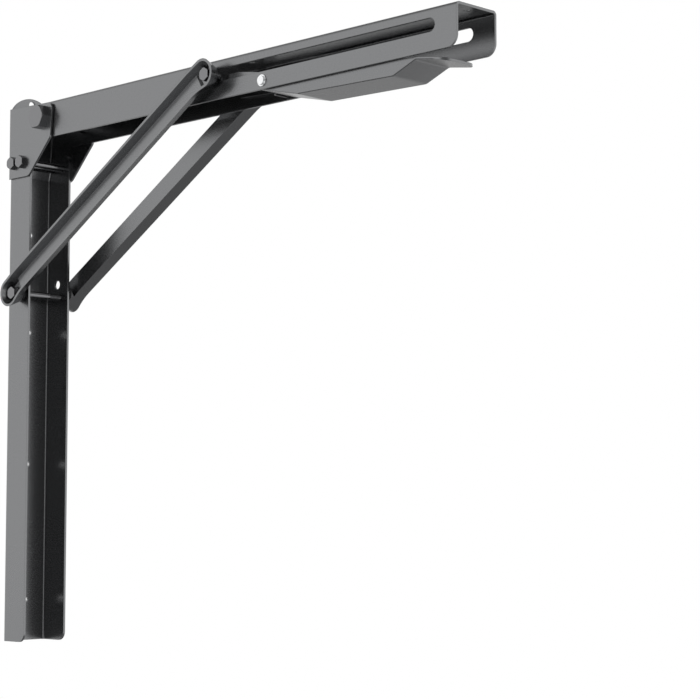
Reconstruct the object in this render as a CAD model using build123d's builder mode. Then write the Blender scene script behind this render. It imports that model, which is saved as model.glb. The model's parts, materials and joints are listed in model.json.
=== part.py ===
from build123d import *
import math
import os

# A folding shelf bracket, unfolded. Origin on the wall plane, in the mid plane, at the height
# of the main pivot. +X away from the wall, +Y to the right of someone facing the wall, +Z up.
# All sizes in millimetres. Drops and rises are measured from the main pivot.

# Sheet steel and clearances
sheet = 2.0             # thickness of the pressed steel
bend = 1.4              # inside radius of a folded corner
seat_gap = 0.05         # slack of a piece seated on or in another that it stays with
run_gap = 0.05          # radial slack of a shaft that turns in its hole
pass_gap = 0.4          # room between pieces that move past each other
fold_gap = 0.3          # room between the flanges of the folded arm and of the channel
arm_slack = 0.5         # room between the arm's flange and the cheek beside it
lever_slack = 1.0       # room between the lever's plate and the arm's flange
slide_gap = 0.2         # room above and below a bush in its slot

# Wall channel
wall_width = 45.0       # over the flanges
wall_depth = 31.2       # from the wall to the flange edges
wall_top_drop = 25.0
wall_low_drop = 463.0
wall_corner = 8.0       # radius of the flange corners
joggle_low_drop = 46.0  # where the web starts to step in behind the back plate
joggle_run = 7.0        # height of that step
wall_hole_d = 5.5
wall_hole_drops = (98.0, 187.0, 306.0)
low_hole_rise = 36.0    # lowest screw hole above the channel's end
spare_hole_d = 8.0
spare_hole_back = 3.8   # spare cross hole, from the struts' lower pivot
spare_hole_up = 11.8

# Hinge bracket
plate_low_drop = 37.0   # lower end of the back plate
cheek_rear_rise = 14.0
cheek_front_rise = 12.0
cheek_reach = 15.4      # cheek in front of the main pivot
cheek_set_back = 2.8    # how far the cheek's front edge leans back lower down
nose_drop = 18.4        # where the cheek's front edge turns back
cheek_low_drop = 49.9
cheek_corner = 7.0
ear_width = 48.0
ear_centre_rise = 3.3
ear_hole_d = 7.0
ear_hole_rise = 21.5

# Arm
arm_rise = 14.1         # top of the arm above the pivot
arm_drop = 18.6         # flange edges below the pivot
arm_tail = 18.5         # arm behind the pivot
arm_bend = 1.2          # inside radius of the arm's folded corners
tip_margin = 20.8       # arm beyond the end of its slots
tip_corner = 9.0
tail_corner = 6.0
shelf_hole_d = 5.5
shelf_hole_reaches = (60.0, 250.0)      # shelf screw holes, from the pivot
shelf_hole_margin = 9.0                 # one more near the tip

# Main pivot
pivot_d = 12.0
pivot_across = 19.0
pivot_head = 7.4
pivot_nut_height = 10.0
bush_wall = 1.5
pivot_pitch = 1.75      # of its thread
thread_end = 2.0        # bolt beyond its nut
corner_cut = 0.7        # chamfer of a hexagon, as a share of its corners' overhang

# Small fasteners
bolt_d = 6.0
bolt_across = 10.0
bolt_head = 4.0
bolt_nut_height = 5.0
bolt_pitch = 1.0
strut_bolt_plain = 30.0 # plain shank before the thread
washer_d = 12.0
washer_thick = 1.6
spacer_thick = 2.2      # washer between the channel and a strut
cheek_bolt_drop = 36.3
cheek_bolt_front = 21.5
cheek_bolt_pitch = 12.7

# Struts and their sliding upper pivot
foot_x = 19.4           # lower pivot
foot_drop = 154.9
slot_rise = 0.8         # middle of the slots above the pivot
rod_reach = 228.5       # upper pivot from the main pivot, unfolded
rod_d = 6.0
slide_bush_d = 10.0
collar_d = 12.0
slot_spare = 7.8        # slot left beyond the bush when folded
eye_r = 12.3            # strut's end round its pivot, at the rim
strut_high = 13.2       # rim above the line of the pivots
strut_low = 9.1         # and below it
strut_blend = 60.0      # where the lower rim runs into an eye
shoulder = 16.0         # from a pivot to where the upper rim starts to fall
shoulder_blend = 60.0
strut_depth = 10.7      # from an eye's back face to the rim
strut_draft = 22.0      # lean of the strut's walls, in degrees
floor_lift = 2.1        # the floor between the eyes stands out this far
floor_step = 9.0        # from a pivot to the step in the floor
step_run = 2.0
pin_head = 5.0

# Release lever, from its rivet
rivet_ahead = 56.8      # rivet in front of the upper pivot, unfolded
rivet_drop = 11.6
rivet_d = 6.0
rivet_disc_d = 9.4
rivet_disc_thick = 0.7
rivet_boss_d = 7.2
rivet_boss_thick = 1.3
hook_back = 68.4
hook_front = 29.9       # where the hook plates start to slope down
hook_depth = 10.0
catch_depth = 0.1       # flat cut in the rod, above its middle line
web_start = (-3.9, -6.7)
web_rear = (37.1, -16.1)
web_front = (138.1, -18.5)
web_rise = (161.1, -9.6)
paddle_tip = (190.6, -14.4)
plate_neck = (-22.9, 0.4)       # lower edge of the hook plates
plate_heel = (-8.9, -2.6)
plate_shoulder = (17.1, 4.3)    # upper edge of the plates
plate_dip = (37.1, -2.4)
plate_front = (135.1, -4.9)
lever_bend = 0.9        # outer radius of the folds along the web
web_bend = 6.0
paddle_corner = 13.0
wire_d = 1.2
coil_turns = 5
coil_pitch = 1.5
leg_length = 11.0
leg_fall = 8.0          # slope of the spring's front leg, in degrees
leg_bend = 2.5
anchor_back = 14.5      # where the spring is hooked into the arm, from the rivet
anchor_drop = 5.1
anchor_hole_d = 1.8

# Places across the bracket, from the mid plane
wall_half = wall_width / 2
wall_in = wall_half - sheet
cheek_in = wall_half + seat_gap
cheek_out = cheek_in + sheet
arm_half = wall_half - arm_slack
arm_in = arm_half - sheet
lever_half = arm_in - lever_slack
lever_in = lever_half - sheet
strut_back = wall_half + spacer_thick + pass_gap
strut_floor = strut_back + sheet
strut_rim = strut_back + strut_depth
rod_end = strut_back - pass_gap
collar_in = arm_half + pass_gap

# Places in the side view. Folded, the arm's flanges stop just short of the channel's.
pivot_x = wall_depth + arm_drop + fold_gap
rod_x = pivot_x + rod_reach
strut_length = math.hypot(rod_x - foot_x, slot_rise + foot_drop)
strut_angle = math.degrees(math.atan2(slot_rise + foot_drop, rod_x - foot_x))
folded_offset = pivot_x + slot_rise - foot_x
folded_reach = foot_drop + math.sqrt(strut_length**2 - folded_offset**2)
slot_half = slide_bush_d / 2 + slide_gap
slot_rear = rod_x - slot_half
slot_front = pivot_x + folded_reach + slot_half + slot_spare
arm_rear = pivot_x - arm_tail
arm_tip = slot_front + tip_margin
rivet_x = rod_x + rivet_ahead
joggle = sheet + seat_gap
hook_top = slot_rise + catch_depth - pass_gap
anchor = (rivet_x - anchor_back, -rivet_drop - anchor_drop)

print("strut length", round(strut_length, 3), "strut angle", round(strut_angle, 3))
print("slide travel", round(folded_reach - rod_reach, 3))
folded_angle = math.degrees(math.atan2(foot_drop - folded_reach, folded_offset))
print("strut swing", round(strut_angle - folded_angle, 3), "arm tip", round(arm_tip, 3))


def cross_plane(x, z, y):
    """Plane across the bracket at y, centred on x and z, facing the left side."""
    return Plane(origin=(x, y, z), x_dir=(1, 0, 0), z_dir=(0, -1, 0))


def cross_cylinder(x, z, radius, low, high):
    """Round bar across the bracket, between two places on Y."""
    with BuildPart() as bar:
        with BuildSketch(cross_plane(x, z, high)):
            Circle(radius)
        extrude(amount=high - low)
    return bar.part


def ring(plane, outer, inner, height):
    """Washer or sleeve that stands on the plane."""
    with BuildPart() as sleeve:
        with BuildSketch(plane):
            Circle(outer)
            Circle(inner, mode=Mode.SUBTRACT)
        extrude(amount=height)
    return sleeve.part


def hexagon(plane, across, height, turn):
    """Hexagonal prism that stands on the plane, its outer corners turned off."""
    corner = across / math.sqrt(3)
    with BuildPart() as turned:
        with BuildSketch(plane):
            Circle(corner)
        extrude(amount=height)
        top = turned.faces().sort_by(Axis(plane.origin, plane.z_dir))[-1]
        chamfer(top.edges(), length=(corner - across / 2) * corner_cut)
    with BuildPart() as prism:
        with BuildSketch(plane):
            RegularPolygon(across / 2, 6, major_radius=False, rotation=turn)
        extrude(amount=height)
        add(turned.part, mode=Mode.INTERSECT)
    return prism.part


def thread_core(diameter, pitch):
    """Radius at the root of a metric thread."""
    return diameter / 2 - 0.6134 * pitch


def nut(x, z, y, across, height, bore, turn):
    """Nut that bears on the right side of the bracket at y."""
    plane = Plane(origin=(x, y, z), x_dir=(1, 0, 0), z_dir=(0, 1, 0))
    with BuildPart() as blank:
        add(hexagon(plane, across, height, turn))
        with BuildSketch(plane):
            Circle(bore)
        extrude(amount=height, mode=Mode.SUBTRACT)
    return blank.part


def cross_bolt(x, z, seat, diameter, pitch, across, head, thread, end, turn):
    """Hex bolt from left to right: its head bears at minus seat, its plain shank ends at
    y = thread and the bolt at y = end. The thread is left at its root."""
    with BuildPart() as bolt:
        add(hexagon(cross_plane(x, z, -seat), across, head, turn))
        add(cross_cylinder(x, z, diameter / 2, -seat, thread))
        add(cross_cylinder(x, z, thread_core(diameter, pitch), thread, end))
    return bolt.part


# Wall channel: a U section, its web stepped in at the top behind the hinge bracket's plate
wall_line = (
    (0, -wall_low_drop),
    (0, -joggle_low_drop),
    (joggle, joggle_run - joggle_low_drop),
    (joggle, -wall_top_drop),
)
foot_places = ((foot_x, -foot_drop), (foot_x - spare_hole_back, spare_hole_up - foot_drop))
foot_hole_radii = (bolt_d / 2 + seat_gap, spare_hole_d / 2)
cheek_bolt_places = (
    (cheek_bolt_front - cheek_bolt_pitch, -cheek_bolt_drop),
    (cheek_bolt_front, -cheek_bolt_drop),
)

with BuildPart() as channel_hollow:
    with BuildSketch(Plane.XZ):
        with BuildLine():
            Polyline(
                *((x + sheet, z) for x, z in wall_line),
                (joggle + sheet, 0),
                (wall_depth + sheet, 0),
                (wall_depth + sheet, -wall_low_drop),
                close=True,
            )
        make_face()
    extrude(amount=wall_in, both=True)
    inner_corners = (
        channel_hollow.edges().filter_by_position(Axis.Y, -wall_in, -wall_in)
        + channel_hollow.edges().filter_by_position(Axis.Y, wall_in, wall_in)
    ).filter_by_position(Axis.X, 0, joggle + sheet)
    fillet(inner_corners, radius=bend)

with BuildPart() as wall_channel:
    with BuildSketch(Plane.XZ):
        with BuildLine():
            Polyline(
                *wall_line,
                (wall_depth, -wall_top_drop),
                (wall_depth, -wall_low_drop),
                close=True,
            )
        make_face()
    extrude(amount=wall_half, both=True)
    folds = (
        wall_channel.edges().filter_by_position(Axis.Y, -wall_half, -wall_half)
        + wall_channel.edges().filter_by_position(Axis.Y, wall_half, wall_half)
    ).filter_by_position(Axis.X, 0, joggle)
    fillet(folds, radius=bend + sheet)
    flange_corners = wall_channel.edges().filter_by(Axis.Y).filter_by_position(
        Axis.X, wall_depth, wall_depth
    )
    fillet(flange_corners, radius=wall_corner)
    add(channel_hollow.part, mode=Mode.SUBTRACT)
    with BuildSketch(Plane.YZ):
        with Locations(
            *((0, -drop) for drop in wall_hole_drops),
            (0, low_hole_rise - wall_low_drop),
        ):
            Circle(wall_hole_d / 2)
    extrude(amount=sheet, mode=Mode.SUBTRACT)
    for (x, z), radius in zip(foot_places, foot_hole_radii):
        add(cross_cylinder(x, z, radius, -wall_half, wall_half), mode=Mode.SUBTRACT)
    for x, z in cheek_bolt_places:
        add(
            cross_cylinder(x, z, bolt_d / 2 + seat_gap, -wall_half, wall_half),
            mode=Mode.SUBTRACT,
        )
wall_channel.part.label = "wall_channel"

# Hinge bracket: back plate with a round ear, and two cheeks
with BuildPart() as bracket_hollow:
    with BuildSketch(Plane.XY.offset(-wall_low_drop)):
        with Locations((sheet, 0)):
            Rectangle(wall_low_drop, 2 * cheek_in, align=(Align.MIN, Align.CENTER))
    extrude(amount=2 * wall_low_drop)
    back_corners = bracket_hollow.edges().filter_by(Axis.Z).group_by(Axis.X)[0]
    fillet(back_corners, radius=bend)

with BuildPart() as hinge_bracket:
    with BuildSketch(Plane.XZ) as cheek_outline:
        with BuildLine():
            Polyline(
                (0, cheek_rear_rise),
                (pivot_x + cheek_reach, cheek_front_rise),
                (pivot_x + cheek_reach - cheek_set_back, -nose_drop),
                (wall_depth, -cheek_low_drop),
                (0, -cheek_low_drop),
                close=True,
            )
        make_face()
        fillet(cheek_outline.vertices().group_by(Axis.X)[1:], radius=cheek_corner)
    extrude(amount=cheek_out, both=True)
    folds = (
        hinge_bracket.edges().filter_by_position(Axis.Y, -cheek_out, -cheek_out)
        + hinge_bracket.edges().filter_by_position(Axis.Y, cheek_out, cheek_out)
    ).filter_by_position(Axis.X, 0, 0)
    fillet(folds, radius=bend + sheet)
    add(bracket_hollow.part, mode=Mode.SUBTRACT)
    with BuildSketch(Plane.XY.offset(-plate_low_drop)):
        Rectangle(2 * wall_depth, 2 * cheek_in)
    extrude(amount=-wall_low_drop, mode=Mode.SUBTRACT)
    with BuildSketch(Plane.YZ):
        with Locations((0, ear_centre_rise)):
            Circle(ear_width / 2)
        with Locations((0, cheek_rear_rise - sheet)):
            Rectangle(
                ear_width, ear_width, align=(Align.CENTER, Align.MIN), mode=Mode.INTERSECT
            )
    extrude(amount=sheet)
    with BuildSketch(Plane.YZ):
        with Locations((0, ear_hole_rise)):
            Circle(ear_hole_d / 2)
    extrude(amount=sheet, mode=Mode.SUBTRACT)
    add(
        cross_cylinder(pivot_x, 0, pivot_d / 2 + seat_gap, -cheek_out, cheek_out),
        mode=Mode.SUBTRACT,
    )
    for x, z in cheek_bolt_places:
        add(
            cross_cylinder(x, z, bolt_d / 2 + seat_gap, -cheek_out, cheek_out),
            mode=Mode.SUBTRACT,
        )
hinge_bracket.part.label = "hinge_bracket"

# Main pivot: bolt, nut, and the sleeve that the cheeks are clamped on and the arm turns on
bush_r = pivot_d / 2 + seat_gap + bush_wall
pivot_nut_bore = thread_core(pivot_d, pivot_pitch) + seat_gap
with BuildPart() as pivot_bolt:
    add(
        cross_bolt(
            pivot_x, 0, cheek_out, pivot_d, pivot_pitch, pivot_across, pivot_head,
            cheek_out, cheek_out + pivot_nut_height + thread_end, 0,
        )
    )
pivot_bolt.part.label = "pivot_bolt"

with BuildPart() as pivot_nut:
    add(nut(pivot_x, 0, cheek_out, pivot_across, pivot_nut_height, pivot_nut_bore, 0))
pivot_nut.part.label = "pivot_nut"

with BuildPart() as pivot_bush:
    add(ring(cross_plane(pivot_x, 0, cheek_in), bush_r, pivot_d / 2 + seat_gap, 2 * cheek_in))
pivot_bush.part.label = "pivot_bush"

# Cheek bolts: two small bolts through the cheeks and the channel, with their nuts
cheek_bolt_end = cheek_out + bolt_nut_height + thread_end
corner_up = 30
(rear_x, rear_z), (front_x, front_z) = cheek_bolt_places
with BuildPart() as cheek_bolt_rear:
    add(
        cross_bolt(
            rear_x, rear_z, cheek_out, bolt_d, bolt_pitch, bolt_across, bolt_head,
            cheek_out, cheek_bolt_end, corner_up,
        )
    )
cheek_bolt_rear.part.label = "cheek_bolt_rear"

with BuildPart() as cheek_bolt_front:
    add(
        cross_bolt(
            front_x, front_z, cheek_out, bolt_d, bolt_pitch, bolt_across, bolt_head,
            cheek_out, cheek_bolt_end, corner_up,
        )
    )
cheek_bolt_front.part.label = "cheek_bolt_front"

nut_bore = thread_core(bolt_d, bolt_pitch) + seat_gap
with BuildPart() as cheek_nut_rear:
    add(nut(rear_x, rear_z, cheek_out, bolt_across, bolt_nut_height, nut_bore, corner_up))
cheek_nut_rear.part.label = "cheek_nut_rear"

with BuildPart() as cheek_nut_front:
    add(nut(front_x, front_z, cheek_out, bolt_across, bolt_nut_height, nut_bore, corner_up))
cheek_nut_front.part.label = "cheek_nut_front"

# Lower pivot of the struts: a bolt through the channel, with a washer each side of each strut
foot_z = -foot_drop
outer_washer_in = strut_floor + pass_gap
foot_seat = outer_washer_in + washer_thick
washer_bore = bolt_d / 2 + seat_gap
with BuildPart() as strut_bolt:
    add(
        cross_bolt(
            foot_x, foot_z, foot_seat, bolt_d, bolt_pitch, bolt_across, bolt_head,
            strut_bolt_plain - wall_half, foot_seat + bolt_nut_height + thread_end, corner_up,
        )
    )
strut_bolt.part.label = "strut_bolt"

with BuildPart() as strut_nut:
    add(nut(foot_x, foot_z, foot_seat, bolt_across, bolt_nut_height, nut_bore, corner_up))
strut_nut.part.label = "strut_nut"

with BuildPart() as spacer_left:
    add(ring(cross_plane(foot_x, foot_z, -wall_half), washer_d / 2, washer_bore, spacer_thick))
spacer_left.part.label = "spacer_left"

with BuildPart() as spacer_right:
    mirror(spacer_left.part, about=Plane.XZ)
spacer_right.part.label = "spacer_right"

with BuildPart() as foot_washer_left:
    add(
        ring(cross_plane(foot_x, foot_z, -outer_washer_in), washer_d / 2, washer_bore, washer_thick)
    )
foot_washer_left.part.label = "foot_washer_left"

with BuildPart() as foot_washer_right:
    mirror(foot_washer_left.part, about=Plane.XZ)
foot_washer_right.part.label = "foot_washer_right"

# Arm: an upside-down U section with a slot in each flange and screw holes for the shelf
with BuildPart() as arm_hollow:
    with BuildSketch(Plane.YZ.offset(arm_rear - sheet)):
        with Locations((0, arm_rise - sheet)):
            Rectangle(2 * arm_in, 2 * arm_drop, align=(Align.CENTER, Align.MAX))
    extrude(amount=arm_tip - arm_rear + 2 * sheet)
    fillet(arm_hollow.edges().filter_by(Axis.X).group_by(Axis.Z)[-1], radius=arm_bend)

with BuildPart() as arm_channel:
    with BuildSketch(Plane.XZ):
        with Locations((arm_rear, -arm_drop)):
            Rectangle(
                arm_tip - arm_rear, arm_rise + arm_drop, align=(Align.MIN, Align.MIN)
            )
    extrude(amount=arm_half, both=True)
    fillet(arm_channel.edges().filter_by(Axis.X).group_by(Axis.Z)[-1], radius=arm_bend + sheet)
    low_edges = arm_channel.edges().filter_by(Axis.Y).group_by(Axis.Z)[0]
    fillet(low_edges.sort_by(Axis.X)[-1], radius=tip_corner)
    fillet(low_edges.sort_by(Axis.X)[0], radius=tail_corner)
    add(arm_hollow.part, mode=Mode.SUBTRACT)
    with BuildSketch(Plane.XZ):
        with Locations(((slot_rear + slot_front) / 2, slot_rise)):
            SlotOverall(slot_front - slot_rear, 2 * slot_half)
    extrude(amount=arm_half, both=True, mode=Mode.SUBTRACT)
    with BuildSketch(Plane.XY.offset(arm_rise)):
        with Locations(
            *((pivot_x + reach, 0) for reach in shelf_hole_reaches),
            (arm_tip - shelf_hole_margin, 0),
        ):
            Circle(shelf_hole_d / 2)
    extrude(amount=-sheet, mode=Mode.SUBTRACT)
    add(
        cross_cylinder(pivot_x, 0, bush_r + run_gap, -arm_half, arm_half), mode=Mode.SUBTRACT
    )
    add(
        cross_cylinder(rivet_x, -rivet_drop, rivet_d / 2 + seat_gap, -arm_half, arm_half),
        mode=Mode.SUBTRACT,
    )
    add(cross_cylinder(*anchor, anchor_hole_d / 2, 0, arm_half), mode=Mode.SUBTRACT)
arm_channel.part.label = "arm_channel"

# Lever rivet: a pin across the arm, with a disc and a raised boss on each side
disc_out = arm_half + rivet_disc_thick
boss_out = disc_out + rivet_boss_thick
with BuildPart() as lever_rivet:
    add(cross_cylinder(rivet_x, -rivet_drop, rivet_d / 2, -arm_half, arm_half))
    for side in (-1, 1):
        low, high = sorted((side * arm_half, side * disc_out))
        add(cross_cylinder(rivet_x, -rivet_drop, rivet_disc_d / 2, low, high))
        low, high = sorted((side * disc_out, side * boss_out))
        add(cross_cylinder(rivet_x, -rivet_drop, rivet_boss_d / 2, low, high))
lever_rivet.part.label = "lever_rivet"

# Latch spring: a coil round the rivet, with one leg over the lever's web and one hooked into
# the arm's right flange
coil_r = rivet_d / 2 + pass_gap + wire_d / 2
coil_half = coil_turns * coil_pitch / 2
fall = math.radians(leg_fall)
coil_plane = Plane(
    origin=(rivet_x, -coil_half, -rivet_drop),
    x_dir=(-math.sin(fall), 0, -math.cos(fall)),
    z_dir=(0, 1, 0),
)
coil = coil_plane * Helix(coil_pitch, 2 * coil_half, coil_r)
leg_turn = coil @ 1 + (coil % 1) * (2 * leg_bend)
with BuildPart() as latch_spring:
    with BuildSketch(Plane(origin=coil @ 0, z_dir=coil % 0)):
        Circle(wire_d / 2)
    sweep(path=coil, is_frenet=True)
    with BuildSketch(Plane(origin=coil @ 0, z_dir=coil % 0)):
        Circle(wire_d / 2)
    extrude(amount=-leg_length)
    with BuildLine():
        hooked_leg = FilletPolyline(
            coil @ 1,
            leg_turn,
            (anchor[0], leg_turn.Y, anchor[1]),
            (anchor[0], arm_half, anchor[1]),
            radius=leg_bend,
        )
    with BuildSketch(Plane(origin=hooked_leg @ 0, z_dir=hooked_leg % 0)):
        Circle(wire_d / 2)
    sweep(path=hooked_leg)
latch_spring.part.label = "latch_spring"

# Slot rod: flats in its underside leave room for the hook plates
with BuildPart() as slot_rod:
    add(cross_cylinder(rod_x, slot_rise, rod_d / 2, -rod_end, rod_end))
    for side in (-1, 1):
        with BuildSketch(Plane.XZ.offset(side * (lever_half - sheet / 2))):
            with Locations((rod_x, slot_rise + catch_depth)):
                Rectangle(rod_d, rod_d, align=(Align.CENTER, Align.MAX))
        extrude(amount=sheet / 2 + pass_gap, both=True, mode=Mode.SUBTRACT)
slot_rod.part.label = "slot_rod"

# Slide bushes: a sleeve in the slot with a collar outside the flange
bush_in = lever_half + pass_gap
rod_bore = rod_d / 2 + seat_gap
with BuildPart() as slide_bush_left:
    add(
        ring(
            cross_plane(rod_x, slot_rise, -bush_in), slide_bush_d / 2, rod_bore, collar_in - bush_in
        )
    )
    add(
        ring(cross_plane(rod_x, slot_rise, -collar_in), collar_d / 2, rod_bore, rod_end - collar_in)
    )
slide_bush_left.part.label = "slide_bush_left"

with BuildPart() as slide_bush_right:
    mirror(slide_bush_left.part, about=Plane.XZ)
slide_bush_right.part.label = "slide_bush_right"

# Release lever: a U section inside the arm, drawn from its rivet. Hook plates behind, a bent
# web below, and a thumb paddle in front.
def from_rivet(point):
    """A place in the side view, from its distances to the lever's rivet."""
    return (rivet_x + point[0], point[1] - rivet_drop)


web_points = [from_rivet(point) for point in (web_start, web_rear, web_front, web_rise)]
web_points.append(from_rivet(paddle_tip))
hook_places = (
    (rivet_x - hook_back, hook_top - hook_depth),
    (rivet_x - hook_back, hook_top),
    (rivet_x - hook_front, hook_top),
)
plate_tops = [from_rivet(point) for point in (plate_shoulder, plate_dip, plate_front)]

with BuildPart() as lever_web:
    with BuildSketch(Plane.XZ):
        with BuildLine():
            FilletPolyline(*web_points, radius=web_bend)
            offset(amount=sheet, side=Side.LEFT, closed=True)
        make_face()
    extrude(amount=lever_half, both=True)
    underside = lever_web.faces().filter_by(lambda face: face.normal_at().Z < -0.5)
    side_edges = (
        underside.edges().filter_by_position(Axis.Y, -lever_half, -lever_half)
        + underside.edges().filter_by_position(Axis.Y, lever_half, lever_half)
    )
    fillet(side_edges, radius=lever_bend)
    with BuildSketch():
        with Locations((web_points[-1][0], 0)):
            RectangleRounded(
                paddle_tip[0] + hook_back, 2 * lever_half, paddle_corner,
                align=(Align.MAX, Align.CENTER),
            )
    extrude(amount=2 * arm_drop, both=True, mode=Mode.INTERSECT)

with BuildPart() as release_lever:
    with BuildSketch(Plane.XZ):
        with BuildLine():
            Polyline(
                *hook_places,
                *plate_tops,
                *((x, z + sheet / 2) for x, z in reversed(web_points[:-1])),
                from_rivet(plate_heel),
                from_rivet(plate_neck),
                close=True,
            )
        make_face()
    extrude(amount=lever_half, both=True)
    with BuildSketch(Plane.XZ):
        Rectangle(2 * arm_tip, 4 * arm_drop)
    extrude(amount=lever_in, both=True, mode=Mode.SUBTRACT)
    add(lever_web.part)
    add(
        cross_cylinder(rivet_x, -rivet_drop, rivet_d / 2 + run_gap, -lever_half, lever_half),
        mode=Mode.SUBTRACT,
    )
release_lever.part.label = "release_lever"

# Struts: pressed trays, open outward, with a raised floor between their eyes
along = (math.cos(math.radians(strut_angle)), 0, math.sin(math.radians(strut_angle)))
upward = (-along[2], 0, along[0])
rim_plane = Plane(origin=(foot_x, -strut_rim, foot_z), x_dir=along, z_dir=(0, 1, 0))
floor_plane = Plane(origin=(foot_x, 0, foot_z), x_dir=along, z_dir=upward)
eyes = ((0, 0), (strut_length, 0))
wall_run = sheet / math.cos(math.radians(strut_draft))
lifted = strut_back + floor_lift
floor_back = (
    (-eye_r, -strut_back),
    (floor_step, -strut_back),
    (floor_step + step_run, -lifted),
    (strut_length - floor_step - step_run, -lifted),
    (strut_length - floor_step, -strut_back),
    (strut_length + eye_r, -strut_back),
)

with BuildPart() as strut_blank:
    with BuildSketch(rim_plane) as rim_outline:
        with Locations(*eyes):
            Circle(eye_r)
        with Locations((shoulder, -strut_high)):
            Rectangle(strut_length - 2 * shoulder, strut_high, align=(Align.MIN, Align.MIN))
        make_hull()
        fillet(rim_outline.vertices().group_by(Axis.Y)[0], radius=shoulder_blend)
        with Locations((0, strut_low)):
            Rectangle(strut_length, eye_r, align=(Align.MIN, Align.MIN), mode=Mode.SUBTRACT)
        with Locations(*eyes):
            Circle(eye_r)
        fillet(rim_outline.vertices().group_by(Axis.Y)[-1], radius=strut_blend)
    extrude(amount=strut_depth, taper=strut_draft)

with BuildPart() as strut_floor_plate:
    add(strut_blank.part)
    with BuildSketch(floor_plane):
        with BuildLine():
            Polyline(
                *floor_back, *((u, y - sheet) for u, y in reversed(floor_back)), close=True
            )
        make_face()
    extrude(amount=2 * eye_r, both=True, mode=Mode.INTERSECT)

with BuildPart() as strut_left:
    add(strut_blank.part)
    with BuildSketch(rim_plane):
        add(rim_outline.sketch_local)
        offset(amount=-wall_run, mode=Mode.REPLACE)
    extrude(amount=strut_depth + sheet, taper=strut_draft, mode=Mode.SUBTRACT)
    with BuildSketch(floor_plane):
        with BuildLine():
            Polyline(
                *floor_back,
                (strut_length + eye_r, sheet - strut_back),
                (-eye_r, sheet - strut_back),
                close=True,
            )
        make_face()
    extrude(amount=2 * eye_r, both=True, mode=Mode.SUBTRACT)
    add(strut_floor_plate.part)
    add(
        cross_cylinder(foot_x, foot_z, bolt_d / 2 + run_gap, -strut_rim, -wall_half),
        mode=Mode.SUBTRACT,
    )
    add(cross_cylinder(rod_x, slot_rise, rod_bore, -strut_rim, -wall_half), mode=Mode.SUBTRACT)
strut_left.part.label = "strut_left"

with BuildPart() as strut_right:
    mirror(strut_left.part, about=Plane.XZ)
strut_right.part.label = "strut_right"

# Upper pivot in the struts: a headed pin end and its washer on each side
with BuildPart() as upper_washer_left:
    add(ring(cross_plane(rod_x, slot_rise, -strut_floor), washer_d / 2, rod_bore, washer_thick))
upper_washer_left.part.label = "upper_washer_left"

with BuildPart() as upper_washer_right:
    mirror(upper_washer_left.part, about=Plane.XZ)
upper_washer_right.part.label = "upper_washer_right"

pin_seat = strut_floor + washer_thick
with BuildPart() as upper_pin_left:
    add(hexagon(cross_plane(rod_x, slot_rise, -pin_seat), bolt_across, pin_head, corner_up))
    add(cross_cylinder(rod_x, slot_rise, rod_d / 2, -pin_seat, -strut_back))
upper_pin_left.part.label = "upper_pin_left"

with BuildPart() as upper_pin_right:
    mirror(upper_pin_left.part, about=Plane.XZ)
upper_pin_right.part.label = "upper_pin_right"

os.makedirs("parts", exist_ok=True)
export_step(wall_channel.part, "parts/wall_channel.step")
export_step(hinge_bracket.part, "parts/hinge_bracket.step")
export_step(pivot_bolt.part, "parts/pivot_bolt.step")
export_step(pivot_nut.part, "parts/pivot_nut.step")
export_step(pivot_bush.part, "parts/pivot_bush.step")
export_step(cheek_bolt_rear.part, "parts/cheek_bolt_rear.step")
export_step(cheek_bolt_front.part, "parts/cheek_bolt_front.step")
export_step(cheek_nut_rear.part, "parts/cheek_nut_rear.step")
export_step(cheek_nut_front.part, "parts/cheek_nut_front.step")
export_step(strut_bolt.part, "parts/strut_bolt.step")
export_step(strut_nut.part, "parts/strut_nut.step")
export_step(spacer_left.part, "parts/spacer_left.step")
export_step(spacer_right.part, "parts/spacer_right.step")
export_step(foot_washer_left.part, "parts/foot_washer_left.step")
export_step(foot_washer_right.part, "parts/foot_washer_right.step")
export_step(arm_channel.part, "parts/arm_channel.step")
export_step(lever_rivet.part, "parts/lever_rivet.step")
export_step(latch_spring.part, "parts/latch_spring.step")
export_step(release_lever.part, "parts/release_lever.step")
export_step(slot_rod.part, "parts/slot_rod.step")
export_step(slide_bush_left.part, "parts/slide_bush_left.step")
export_step(slide_bush_right.part, "parts/slide_bush_right.step")
export_step(strut_left.part, "parts/strut_left.step")
export_step(strut_right.part, "parts/strut_right.step")
export_step(upper_washer_left.part, "parts/upper_washer_left.step")
export_step(upper_washer_right.part, "parts/upper_washer_right.step")
export_step(upper_pin_left.part, "parts/upper_pin_left.step")
export_step(upper_pin_right.part, "parts/upper_pin_right.step")
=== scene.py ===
import json
import math

import bmesh
import bpy
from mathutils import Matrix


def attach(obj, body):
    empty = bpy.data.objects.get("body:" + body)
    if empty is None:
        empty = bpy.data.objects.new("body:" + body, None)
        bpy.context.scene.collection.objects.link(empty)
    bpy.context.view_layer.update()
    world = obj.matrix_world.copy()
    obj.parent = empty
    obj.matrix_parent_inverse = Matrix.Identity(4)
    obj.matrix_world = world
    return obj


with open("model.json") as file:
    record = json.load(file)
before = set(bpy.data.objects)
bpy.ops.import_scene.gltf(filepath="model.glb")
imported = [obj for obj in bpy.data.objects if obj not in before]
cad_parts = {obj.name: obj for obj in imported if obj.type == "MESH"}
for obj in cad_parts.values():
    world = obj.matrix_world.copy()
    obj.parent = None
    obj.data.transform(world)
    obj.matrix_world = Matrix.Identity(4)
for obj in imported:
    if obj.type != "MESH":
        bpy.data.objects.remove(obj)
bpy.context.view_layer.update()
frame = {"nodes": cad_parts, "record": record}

# Camera, from the edges of the object in the photograph
SENSOR_MM = 36.0
LENS_MM = 100.45
CAMERA_AT = (1.4479, -1.0480, -0.3538)
CAMERA_AZIMUTH = 44.695
CAMERA_PITCH = 4.908
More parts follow.
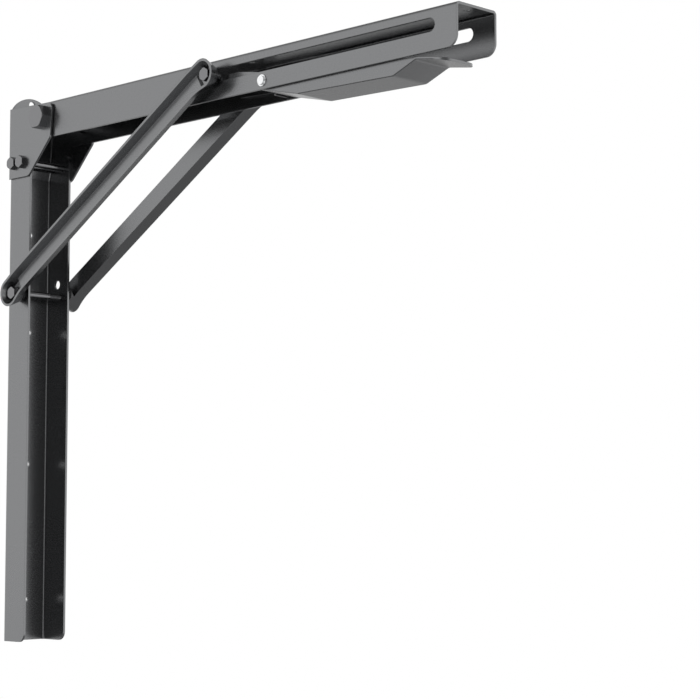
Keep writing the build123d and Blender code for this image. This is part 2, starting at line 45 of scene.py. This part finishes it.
CLIP_NEAR = 0.05
CLIP_FAR = 100.0

# Floor
FLOOR_Z = -1.1
FLOOR_RADIUS = 1.3
FLOOR_SIDES = 96
FLOOR_PALE = 0.6
FLOOR_LIFT = 0.78       # lifts the floor to white for the camera

# Light of the studio
SURROUND = 1.0          # at eye level
SURROUND_DIM = 0.12     # straight up and straight down
DIM_FROM = 0.30         # sine of the height at which it starts to fall off
DIM_TO = 0.95           # and at which it has fallen off
# Dimmer sides: direction, share of the light left, cosines where the dimming starts and is full
SHADES = (
    ((0.755, -0.648, 0.10), 0.22, 0.80, 0.97),
    ((-0.637, 0.732, -0.242), 0.42, 0.935, 0.985),
    ((-0.702, -0.589, -0.40), 0.15, 0.945, 0.99),
)

# Surface colours, linear
COAT = (0.235, 0.238, 0.243, 1.0)
BLACK_ZINC = (0.225, 0.226, 0.232, 1.0)
BRIGHT_ZINC = (0.93, 0.94, 0.95, 1.0)
DARK_WIRE = (0.16, 0.16, 0.165, 1.0)

# Finish of each slot: colour, roughness, grains in a metre, strength of the relief, edge radius
FINISHES = {
    "powder_coat": (COAT, 0.26, 2400.0, 0.08, 0.0004),
    "black_fastener": (BLACK_ZINC, 0.20, 1800.0, 0.10, 0.0003),
    "bright_rivet": (BRIGHT_ZINC, 0.20, 3000.0, 0.10, 0.0002),
    "spring_wire": (DARK_WIRE, 0.32, 3000.0, 0.10, 0.0001),
}
GRAIN_DETAIL = 3.0
GRAIN_ROUGHNESS = 0.6
GRAIN_LOW = 0.25        # range of the grain that changes the roughness
GRAIN_HIGH = 0.75
ROUGHNESS_SPREAD = 0.1  # share by which it changes up and down
RELIEF_DEPTH = 0.0001
EDGE_SAMPLES = 8

# Threads: crest and root radius of the two sizes, then name, bolt, ends on Y, radii and pitch
LARGE = (0.00598, 0.00492)
SMALL = (0.00298, 0.00238)
THREADS = (
    ("pivot_thread", "pivot_bolt", (0.0246, 0.0364), LARGE, 0.00175),
    ("cheek_thread_rear", "cheek_bolt_rear", (0.0246, 0.0314), SMALL, 0.001),
    ("cheek_thread_front", "cheek_bolt_front", (0.0246, 0.0314), SMALL, 0.001),
    ("strut_thread", "strut_bolt", (0.0076, 0.0359), SMALL, 0.001),
)
THREAD_CORNERS = (0.02, 0.44, 0.56, 0.98)   # root, both edges of the crest and root, in pitches
TURN_STEPS = 20


def make_camera():
    """The camera of the photograph."""
    data = bpy.data.cameras.new("camera")
    data.sensor_fit = "HORIZONTAL"
    data.sensor_width = SENSOR_MM
    data.lens = LENS_MM
    data.clip_start = CLIP_NEAR
    data.clip_end = CLIP_FAR
    camera = bpy.data.objects.new("camera", data)
    camera.location = CAMERA_AT
    camera.rotation_euler = (math.radians(90 + CAMERA_PITCH), 0.0, math.radians(CAMERA_AZIMUTH))
    bpy.context.scene.collection.objects.link(camera)
    bpy.context.scene.camera = camera


def grey(level):
    """An opaque grey, linear."""
    return (level, level, level, 1.0)


def add_node(tree, kind, **sockets):
    """A shader node with some of its inputs set."""
    node = tree.nodes.new(kind)
    for name, value in sockets.items():
        node.inputs[name].default_value = value
    return node


def smooth_range(tree, value, low, high, at_low, at_high):
    """A smooth step of a value from one level to another."""
    step = tree.nodes.new("ShaderNodeMapRange")
    step.interpolation_type = "SMOOTHSTEP"
    step.inputs["From Min"].default_value = low
    step.inputs["From Max"].default_value = high
    step.inputs["To Min"].default_value = at_low
    step.inputs["To Max"].default_value = at_high
    tree.links.new(value, step.inputs["Value"])
    return step.outputs["Result"]


def multiply(tree, first, second):
    """The product of two values."""
    product = tree.nodes.new("ShaderNodeMath")
    product.operation = "MULTIPLY"
    tree.links.new(first, product.inputs[0])
    tree.links.new(second, product.inputs[1])
    return product.outputs[0]


def studio_level(tree, direction):
    """The strength of the light that comes from a direction."""
    parts = tree.nodes.new("ShaderNodeSeparateXYZ")
    tree.links.new(direction, parts.inputs[0])
    height = tree.nodes.new("ShaderNodeMath")
    height.operation = "ABSOLUTE"
    tree.links.new(parts.outputs["Z"], height.inputs[0])
    level = smooth_range(tree, height.outputs[0], DIM_FROM, DIM_TO, SURROUND, SURROUND_DIM)
    for toward, light, start, full in SHADES:
        side = tree.nodes.new("ShaderNodeVectorMath")
        side.operation = "DOT_PRODUCT"
        side.inputs[1].default_value = toward
        tree.links.new(direction, side.inputs[0])
        shade = smooth_range(tree, side.outputs["Value"], start, full, 1.0, light)
        level = multiply(tree, level, shade)
    return level


def make_world():
    """A soft studio, bright all round at eye level and dimmer above, below and on three sides."""
    world = bpy.data.worlds.new("studio")
    world.use_nodes = True
    tree = world.node_tree
    tree.nodes.clear()
    out = tree.nodes.new("ShaderNodeOutputWorld")
    place = tree.nodes.new("ShaderNodeTexCoord")
    lit = add_node(tree, "ShaderNodeBackground", Color=grey(1.0))
    tree.links.new(studio_level(tree, place.outputs["Generated"]), lit.inputs["Strength"])
    white = add_node(tree, "ShaderNodeBackground", Color=grey(1.0), Strength=1.0)
    mix = tree.nodes.new("ShaderNodeMixShader")
    path = tree.nodes.new("ShaderNodeLightPath")
    tree.links.new(path.outputs["Is Camera Ray"], mix.inputs[0])
    tree.links.new(lit.outputs[0], mix.inputs[1])
    tree.links.new(white.outputs[0], mix.inputs[2])
    tree.links.new(mix.outputs[0], out.inputs["Surface"])
    bpy.context.scene.world = world


def floor_finish():
    """A pale surface that looks white to the camera and keeps the shadow."""
    material = bpy.data.materials.new("floor")
    material.use_nodes = True
    tree = material.node_tree
    tree.nodes.clear()
    out = tree.nodes.new("ShaderNodeOutputMaterial")
    plain = add_node(tree, "ShaderNodeBsdfDiffuse", Color=grey(FLOOR_PALE))
    lift = add_node(tree, "ShaderNodeEmission", Color=grey(FLOOR_LIFT))
    path = tree.nodes.new("ShaderNodeLightPath")
    tree.links.new(path.outputs["Is Camera Ray"], lift.inputs["Strength"])
    both = tree.nodes.new("ShaderNodeAddShader")
    tree.links.new(plain.outputs[0], both.inputs[0])
    tree.links.new(lift.outputs[0], both.inputs[1])
    tree.links.new(both.outputs[0], out.inputs["Surface"])
    return material


def make_floor():
    """The round floor."""
    mesh = bpy.data.meshes.new("floor")
    disc = bmesh.new()
    bmesh.ops.create_circle(disc, cap_ends=True, segments=FLOOR_SIDES, radius=FLOOR_RADIUS)
    disc.to_mesh(mesh)
    disc.free()
    mesh.materials.append(floor_finish())
    floor = bpy.data.objects.new("floor", mesh)
    floor.location = (0, 0, FLOOR_Z)
    bpy.context.scene.collection.objects.link(floor)


def finish(name, colour, roughness, grain, bump, edge):
    """A procedural metal finish: fine grain in bump and roughness, and slightly rounded edges."""
    material = bpy.data.materials.new(name)
    material.use_nodes = True
    tree = material.node_tree
    shader = tree.nodes["Principled BSDF"]
    shader.inputs["Base Color"].default_value = colour
    shader.inputs["Metallic"].default_value = 1.0
    place = tree.nodes.new("ShaderNodeTexCoord")
    fine = add_node(
        tree, "ShaderNodeTexNoise", Scale=grain, Detail=GRAIN_DETAIL, Roughness=GRAIN_ROUGHNESS
    )
    tree.links.new(place.outputs["Object"], fine.inputs["Vector"])
    smoothest = roughness * (1 - ROUGHNESS_SPREAD)
    roughest = roughness * (1 + ROUGHNESS_SPREAD)
    rough = smooth_range(tree, fine.outputs["Fac"], GRAIN_LOW, GRAIN_HIGH, smoothest, roughest)
    tree.links.new(rough, shader.inputs["Roughness"])
    rounded = tree.nodes.new("ShaderNodeBevel")
    rounded.samples = EDGE_SAMPLES
    rounded.inputs["Radius"].default_value = edge
    relief = add_node(tree, "ShaderNodeBump", Strength=bump, Distance=RELIEF_DEPTH)
    tree.links.new(fine.outputs["Fac"], relief.inputs["Height"])
    tree.links.new(rounded.outputs["Normal"], relief.inputs["Normal"])
    tree.links.new(relief.outputs["Normal"], shader.inputs["Normal"])
    return material


def bolt_axis(bolt):
    """The place in X and Z of the axis of a bolt that lies along Y."""
    points = [bolt.matrix_world @ vertex.co for vertex in bolt.data.vertices]
    across = [point.x for point in points]
    upward = [point.z for point in points]
    return (min(across) + max(across)) / 2, (min(upward) + max(upward)) / 2


def thread(name, axis, low, high, outer, core, pitch, material):
    """Thread crests on a bolt that lies along Y, from the places low to high on Y."""
    mesh = bpy.data.meshes.new(name)
    crest = bmesh.new()
    turns = (high - low) / pitch - 1
    steps = int(turns * TURN_STEPS)
    profile = tuple(zip((core, outer, outer, core), THREAD_CORNERS))
    rings = []
    for step in range(steps + 1):
        turn = step / TURN_STEPS
        fade = min(1.0, turn, turns - turn)
        angle = turn * 2 * math.pi
        points = []
        for radius, along in profile:
            reach = core + (radius - core) * fade
            x = axis[0] + reach * math.cos(angle)
            z = axis[1] + reach * math.sin(angle)
            points.append(crest.verts.new((x, low + (turn + along) * pitch, z)))
        rings.append(points)
    for here, there in zip(rings, rings[1:]):
        for a, b in ((0, 1), (1, 2), (2, 3), (3, 0)):
            crest.faces.new((here[a], here[b], there[b], there[a]))
    crest.faces.new(reversed(rings[0]))
    crest.faces.new(rings[-1])
    bmesh.ops.recalc_face_normals(crest, faces=crest.faces)
    crest.to_mesh(mesh)
    crest.free()
    mesh.materials.append(material)
    piece = bpy.data.objects.new(name, mesh)
    bpy.context.scene.collection.objects.link(piece)
    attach(piece, "wall_mount")


make_camera()
make_world()
make_floor()

materials = {slot: finish(slot, *look) for slot, look in FINISHES.items()}
for part in frame["record"]["subparts"]:
    piece = frame["nodes"][part["node"]]
    piece.data.materials.clear()
    piece.data.materials.append(materials[part["material_slot"]])

for name, bolt, ends, radii, pitch in THREADS:
    axis = bolt_axis(frame["nodes"][bolt])
    thread(name, axis, *ends, *radii, pitch, materials["black_fastener"])

scene = bpy.context.scene
scene.view_settings.view_transform = "Standard"
